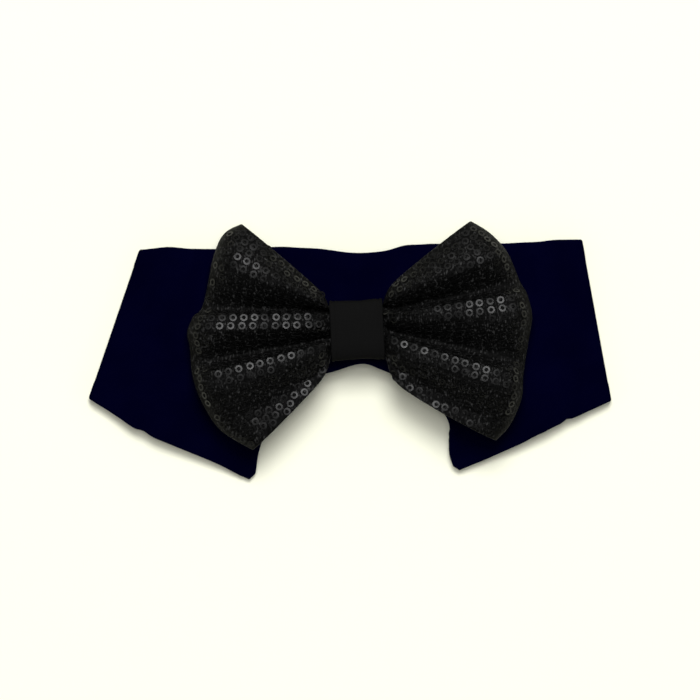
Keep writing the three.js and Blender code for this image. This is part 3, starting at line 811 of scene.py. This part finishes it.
# Polyester knit on net, dyed black: dull charcoal with a random grain, and light specks in its colour that
# are painted glints of its loops. The loops are drawn at 0.8 mm, twice as coarse as the real ones, and longer
# across the rows.
KNIT_PITCH = 0.8
knit, tree, shader = new_material("polyester knit, dyed black")
cloth_place = add_node(tree, "ShaderNodeTexCoord")
across_rows = add_node(
    tree, "ShaderNodeMapping", {"Vector": cloth_place.outputs["Object"], "Scale": (1.0, 0.5, 0.7)}
)
loops = add_node(
    tree,
    "ShaderNodeTexNoise",
    {
        "Vector": across_rows.outputs["Vector"],
        "Scale": 1 / (KNIT_PITCH * MM),
        "Detail": 1.5,
        "Roughness": 0.6,
    },
)
patches = add_node(
    tree, "ShaderNodeTexNoise", {"Vector": cloth_place.outputs["Object"], "Scale": 120.0, "Detail": 2.0}
)
loop_height = add_node(
    tree,
    "ShaderNodeMath",
    {0: patches.outputs["Fac"], 1: 0.15, 2: loops.outputs["Fac"]},
    operation="MULTIPLY_ADD",
)
charcoal = add_node(tree, "ShaderNodeValToRGB", {"Fac": loop_height.outputs["Value"]})
charcoal.color_ramp.elements[0].position = 0.5
charcoal.color_ramp.elements[0].color = linear_colour("020202")
charcoal.color_ramp.elements[1].position = 0.64
charcoal.color_ramp.elements[1].color = linear_colour("0c0c0c")
# The lightest step of the ramp: painted glints, light specks on random loops of the knit.
painted_glint_loops = charcoal.color_ramp.elements.new(0.8)
painted_glint_loops.color = linear_colour("343434")
tree.links.new(charcoal.outputs["Color"], shader.inputs["Base Color"])
bump_inputs = {"Height": loops.outputs["Fac"], "Strength": 0.9, "Distance": 0.3 * MM}
bump = add_node(tree, "ShaderNodeBump", bump_inputs)
tree.links.new(bump.outputs["Normal"], shader.inputs["Normal"])
shader.inputs["Roughness"].default_value = 0.75
shader.inputs["Specular IOR Level"].default_value = 0.1
bow.data.materials.append(knit)
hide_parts("bow")
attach(bow, "root")

# The ring sequins
#
# Rings of black PET film, 3 mm across, stamped, slightly cupped and sewn flat on the knit in rows that run
# out from the knot. Each row is parallel to the crest of its rib, so rows end where they meet a fold.

SEQUIN_DIAMETER = 3.0
SEQUIN_HOLE = 1.6
SEQUIN_CUP = 0.03
SEQUIN_FILM = 0.08
SEQUIN_TILT = math.radians(6)
SEQUIN_SEAT = 0.22
SEQUIN_PITCH = 4.3
ROW_PITCH = 3.5
EDGE_MARGIN = 1.2

# The folds' places among the wing's lines part its ribs. Each rib has the line that its rows start from,
# and how far down from that line the first row lies.
FOLD_LINES = (4, 8)
ROW_STARTS = ((1.55, 0.0), (5.0, 1.3), (9.0, 1.5))
SAMPLES_PER_LINE = 14
ALONG_SAMPLES = 60
chance = random.Random(20)


def seats_in_row(line, normals, run):
    """Seats a pitch apart along one row, as (point, normal, direction), a little uneven as sewn."""
    seats = []
    phase = chance.uniform(-0.5, 0.5)
    row_end = run[-1] - chance.uniform(0.0, 3.6)
    for step in range(math.ceil(run[0] / SEQUIN_PITCH), int(run[-1] / SEQUIN_PITCH) + 2):
        distance = step * SEQUIN_PITCH + phase + chance.uniform(-0.25, 0.25)
        if run[0] <= distance <= row_end:
            point, ahead, behind = (
                Vector([np.interp(distance + d, run, c) for c in np.array(line).T]) for d in (0, 0.8, -0.8)
            )
            normal = Vector([np.interp(distance, run, c) for c in np.array(normals).T])
            seats.append((point, normal.normalized(), (ahead - behind).normalized()))
    return seats


def wing_seats(rows, front):
    """Seats of all the sequins on the front or the back of a wing, row by row."""
    samples = np.linspace(0, LAST_LINE, LAST_LINE * SAMPLES_PER_LINE + 1)
    alongs = np.linspace(0.02, 0.975, ALONG_SAMPLES)
    grid = np.array([[wing_point(rows, place, along, front) for place in samples] for along in alongs])
    normals = grid_normals(grid)
    if (normals[ALONG_SAMPLES // 2, :, 2].mean() < 0) == front:
        normals = -normals
    widths = run_lengths(grid)
    starts = ROW_STARTS if front else ((LAST_LINE / 2, 0.0),)
    limits = (0, *FOLD_LINES, LAST_LINE) if front else (0, LAST_LINE)
    found = []
    for rib, (start_line, first_offset) in enumerate(starts):
        start, low, high = (
            int(np.argmin(abs(samples - line))) for line in (start_line, limits[rib], limits[rib + 1])
        )
        run = run_lengths(grid[:, start])
        count = int(max(np.ptp(widths[:, low : high + 1], axis=1)) / ROW_PITCH) + 1
        for m in range(-count, count + 1):
            offset = first_offset + m * ROW_PITCH
            line, line_normals, line_run = [], [], []
            for i in range(ALONG_SAMPLES):
                from_start = widths[i, low : high + 1] - widths[i, start]
                if from_start[0] + EDGE_MARGIN < offset < from_start[-1] - EDGE_MARGIN:
                    j, share = divmod(np.interp(offset, from_start, np.arange(low, high + 1)), 1)
                    near, far = int(j), min(int(j) + 1, len(samples) - 1)
                    line.append(grid[i, near] * (1 - share) + grid[i, far] * share)
                    line_normals.append(normals[i, near] * (1 - share) + normals[i, far] * share)
                    line_run.append(run[i])
            if len(line) >= 3:
                found += seats_in_row(line, line_normals, line_run)
    return found


# PET film, stamped and metallised black: hard, glossy and nearly black, so it shows mostly what it mirrors.
pet_film, tree, shader = new_material("PET film, glossy black")
place = add_node(tree, "ShaderNodeTexCoord")
film = add_node(
    tree, "ShaderNodeTexNoise", {"Vector": place.outputs["Object"], "Scale": 260.0, "Detail": 2.0}
)
film_colour = add_node(tree, "ShaderNodeValToRGB", {"Fac": film.outputs["Fac"]})
film_colour.color_ramp.elements[0].color = linear_colour("020202")
film_colour.color_ramp.elements[1].color = linear_colour("070707")
tree.links.new(film_colour.outputs["Color"], shader.inputs["Base Color"])
shader.inputs["Roughness"].default_value = 0.43
shader.inputs["IOR"].default_value = 1.5
shader.inputs["Specular IOR Level"].default_value = 0.38

# Polyester sewing thread, twisted, black with a dull shine.
sewing_thread, tree, shader = new_material("polyester sewing thread")
place = add_node(tree, "ShaderNodeTexCoord")
twist = add_node(
    tree, "ShaderNodeTexNoise", {"Vector": place.outputs["Object"], "Scale": 1200.0, "Detail": 1.0}
)
thread_colour = add_node(tree, "ShaderNodeValToRGB", {"Fac": twist.outputs["Fac"]})
thread_colour.color_ramp.elements[0].color = linear_colour("050505")
thread_colour.color_ramp.elements[1].color = linear_colour("161616")
tree.links.new(thread_colour.outputs["Color"], shader.inputs["Base Color"])
shader.inputs["Roughness"].default_value = 0.6
shader.inputs["Specular IOR Level"].default_value = 0.25

sequin_sizes = {"Diameter": SEQUIN_DIAMETER * MM, "Hole": SEQUIN_HOLE * MM, "Tilt": SEQUIN_TILT}
sequin_tree, sizes_in, tree_out = new_tree("ring sequins", sequin_sizes)


def half_of(operation, first, second):
    """Half the sum of two sizes, or half their difference."""
    both = add_node(sequin_tree, "ShaderNodeMath", {0: first, 1: second}, operation=operation)
    return add_node(sequin_tree, "ShaderNodeMath", {0: both.outputs["Value"], 1: 0.5}, operation="MULTIPLY")


outside, hole, tilt = (sizes_in.outputs[name] for name in sequin_sizes)
film_width = half_of("SUBTRACT", outside, hole)
ring_diameter = half_of("ADD", outside, hole)
ring_radius = add_node(
    sequin_tree, "ShaderNodeMath", {0: ring_diameter.outputs["Value"], 1: 0.5}, operation="MULTIPLY"
)
circle = add_node(
    sequin_tree,
    "GeometryNodeCurvePrimitiveCircle",
    {"Resolution": 14, "Radius": ring_radius.outputs["Value"]},
)
profile = add_node(
    sequin_tree,
    "GeometryNodeCurvePrimitiveQuadrilateral",
    {"Width": film_width.outputs["Value"], "Height": SEQUIN_FILM * MM},
)
cup_angle = math.atan2(SEQUIN_CUP, (SEQUIN_DIAMETER - SEQUIN_HOLE) / 2)
cupped = add_node(
    sequin_tree,
    "GeometryNodeTransform",
    {"Geometry": profile.outputs["Curve"], "Rotation": (0.0, 0.0, cup_angle)},
)
ring = add_node(
    sequin_tree,
    "GeometryNodeCurveToMesh",
    {"Curve": circle.outputs["Curve"], "Profile Curve": cupped.outputs["Geometry"]},
)
facets = add_node(
    sequin_tree, "GeometryNodeSetShadeSmooth", {"Geometry": ring.outputs["Mesh"], "Shade Smooth": False}
)
facing, row_way = (
    add_node(sequin_tree, "GeometryNodeInputNamedAttribute", {"Name": name}, data_type="FLOAT_VECTOR")
    for name in ("facing", "row_way")
)
seated = add_node(
    sequin_tree,
    "FunctionNodeAxesToRotation",
    {"Primary Axis": facing.outputs["Attribute"], "Secondary Axis": row_way.outputs["Attribute"]},
    primary_axis="Z",
    secondary_axis="X",
)
tilt_back = add_node(sequin_tree, "ShaderNodeMath", {0: tilt, 1: -1.0}, operation="MULTIPLY")
lowest = add_node(
    sequin_tree,
    "ShaderNodeCombineXYZ",
    {"X": tilt_back.outputs["Value"], "Y": tilt_back.outputs["Value"], "Z": 0.0},
)
highest = add_node(sequin_tree, "ShaderNodeCombineXYZ", {"X": tilt, "Y": tilt, "Z": math.tau})
random_tilt = add_node(
    sequin_tree,
    "FunctionNodeRandomValue",
    {"Min": lowest.outputs["Vector"], "Max": highest.outputs["Vector"], "Seed": 11},
    data_type="FLOAT_VECTOR",
)
turned = add_node(
    sequin_tree,
    "FunctionNodeRotateRotation",
    {"Rotation": seated.outputs["Rotation"], "Rotate By": random_tilt.outputs["Value"]},
    rotation_space="LOCAL",
)
spots = add_node(sequin_tree, "GeometryNodeMeshToPoints", {"Mesh": sizes_in.outputs["Geometry"]})
set_out = add_node(
    sequin_tree,
    "GeometryNodeInstanceOnPoints",
    {
        "Points": spots.outputs["Points"],
        "Instance": facets.outputs["Geometry"],
        "Rotation": turned.outputs["Rotation"],
    },
)
end_tree(sequin_tree, tree_out, set_out.outputs["Instances"], pet_film)

# The thread that holds them is sewn along each row: up through a ring's hole, over its rim, and down into
# the knit before the next ring.
THREAD_THICKNESS = 0.17
thread_sizes = {"Thickness": THREAD_THICKNESS * MM}
thread_tree, sizes_in, tree_out = new_tree("sewn thread", thread_sizes)
run_of_thread = add_node(thread_tree, "GeometryNodeMeshToCurve", {"Mesh": sizes_in.outputs["Geometry"]})
thread_round = add_node(thread_tree, "GeometryNodeCurvePrimitiveCircle", {"Resolution": 4, "Radius": 0.5})
thickness = add_node(
    thread_tree, "ShaderNodeCombineXYZ", {axis: sizes_in.outputs["Thickness"] for axis in ("X", "Y", "Z")}
)
thread_section = add_node(
    thread_tree,
    "GeometryNodeTransform",
    {"Geometry": thread_round.outputs["Curve"], "Scale": thickness.outputs["Vector"]},
)
tube = add_node(
    thread_tree,
    "GeometryNodeCurveToMesh",
    {
        "Curve": run_of_thread.outputs["Curve"],
        "Profile Curve": thread_section.outputs["Geometry"],
        "Fill Caps": True,
    },
)
end_tree(thread_tree, tree_out, tube.outputs["Mesh"], sewing_thread)

# Along the row in millimetres and above the knit, from a ring's middle to just before the next ring.
STITCH = [(-0.5, -0.1), (0.1, 0.08), (0.8, 0.34), (1.6, 0.36), (2.1, 0.1), (2.5, -0.1)]

for side, rows in WINGS.items():
    for layer, front in (("front", True), ("back", False)):
        seats = wing_seats(rows, front)
        spots = [(point + normal * SEQUIN_SEAT) * MM for point, normal, _ in seats]
        ways = {"facing": [normal for _, normal, _ in seats], "row_way": [way for _, _, way in seats]}
        places = base_object("sequin_places", spots, directions=ways)
        sequins = grown_by(sequin_tree, places, f"sequins_{side}_{layer}", sequin_sizes)
        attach(sequins, "root")

        points, edges = [], []
        for point, normal, direction in seats:
            start = len(points)
            lean = normal.cross(direction) * chance.uniform(-0.35, 0.35)
            for forward, up in STITCH:
                points.append((point + direction * forward + lean * max(forward, 0) / 2 + normal * up) * MM)
            edges += [(start + k, start + k + 1) for k in range(len(STITCH) - 1)]
        places = base_object("stitch_places", points, edges)
        thread = grown_by(thread_tree, places, f"stitches_{side}_{layer}", thread_sizes)
        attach(thread, "root")

# The knot
#
# A band of plain black cotton, folded in along both sides and wrapped tight round the bow's waist. It sits
# a little askew and is slightly slimmer at its middle.

KNOT_ROUNDING = 3.0
WAIST_ROUNDING = 5
KNOT_SECTION_STEPS = 120
KNOT_STEPS = 52
HEM_PLACE = 1.7
HEM_GROOVE = 0.35
HEM_SOFTNESS = 0.45
KNOT_CREASE = 0.3


def squared(value, rounding):
    """A sine or cosine pushed outwards, so that a circle becomes a rounded square."""
    return math.copysign(abs(value) ** (2 / rounding), value)


def knot_point(turn, across, inset, rounding):
    """A point of the knot: a turn round its section, across its width and inset from its outer face."""
    half_height = KNOT_HEIGHT / 2 - KNOT_DIP * (1 - across**2) - inset
    depth = KNOT_DEPTH / 2 - inset
    flat = askew(across * KNOT_WIDTH / 2, squared(math.cos(turn), rounding) * half_height)
    return Vector((flat.x, flat.y, WING_MIDDLE + squared(math.sin(turn), rounding) * depth))


knot_stops = stops(KNOT_WIDTH, KNOT_STEPS, KNOT_WALL / 2)
knot_outer, knot_inner = [], []
for i in range(KNOT_SECTION_STEPS):
    turn = i / KNOT_SECTION_STEPS * math.tau
    outer_line, inner_line = [], []
    for distance, share in knot_stops:
        across = 2 * distance / KNOT_WIDTH - 1
        outside = knot_point(turn, across, 0, KNOT_ROUNDING)
        inside = knot_point(turn, across, KNOT_WALL, WAIST_ROUNDING)
        middle = (outside + inside) / 2
        from_side = min(distance, KNOT_WIDTH - distance)
        groove = HEM_GROOVE * math.exp(-(((from_side - HEM_PLACE) / HEM_SOFTNESS) ** 2))
        crease = KNOT_CREASE * wander(outside.x * 1.4, outside.y * 0.9, outside.z, 7)
        sunk = (inside - outside).normalized() * (groove + crease * min(from_side / 2, 1))
        outer_line.append(middle + (outside + sunk - middle) * share)
        inner_line.append(middle + (inside - middle) * share)
    knot_outer.append(outer_line)
    knot_inner.append(inner_line)
knot_along = run_lengths(middle_column(knot_outer + knot_outer[:1]))
knot_across = [[distance for distance, _ in knot_stops]] * KNOT_SECTION_STEPS
knot = cloth_object("knot_band", knot_outer, knot_inner, knot_along, knot_across, ring=True)

# Cotton sateen, dyed black: smooth, matte, with a fine weave drawn as coarse as the collar's.
sateen, tree, shader = new_material("cotton sateen, dyed black")
weave = plain_weave(tree, add_node(tree, "ShaderNodeUVMap", uv_map="cloth"), 0.8)
black = add_node(tree, "ShaderNodeValToRGB", {"Fac": weave.outputs["Value"]})
black.color_ramp.elements[0].color = linear_colour("0e0e0e")
black.color_ramp.elements[1].color = linear_colour("141414")
tree.links.new(black.outputs["Color"], shader.inputs["Base Color"])
bump_inputs = {"Height": weave.outputs["Value"], "Strength": 0.2, "Distance": 0.1 * MM}
bump = add_node(tree, "ShaderNodeBump", bump_inputs)
tree.links.new(bump.outputs["Normal"], shader.inputs["Normal"])
shader.inputs["Roughness"].default_value = 0.8
shader.inputs["Specular IOR Level"].default_value = 0.02
knot.data.materials.append(sateen)
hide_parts("knot")
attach(knot, "root")
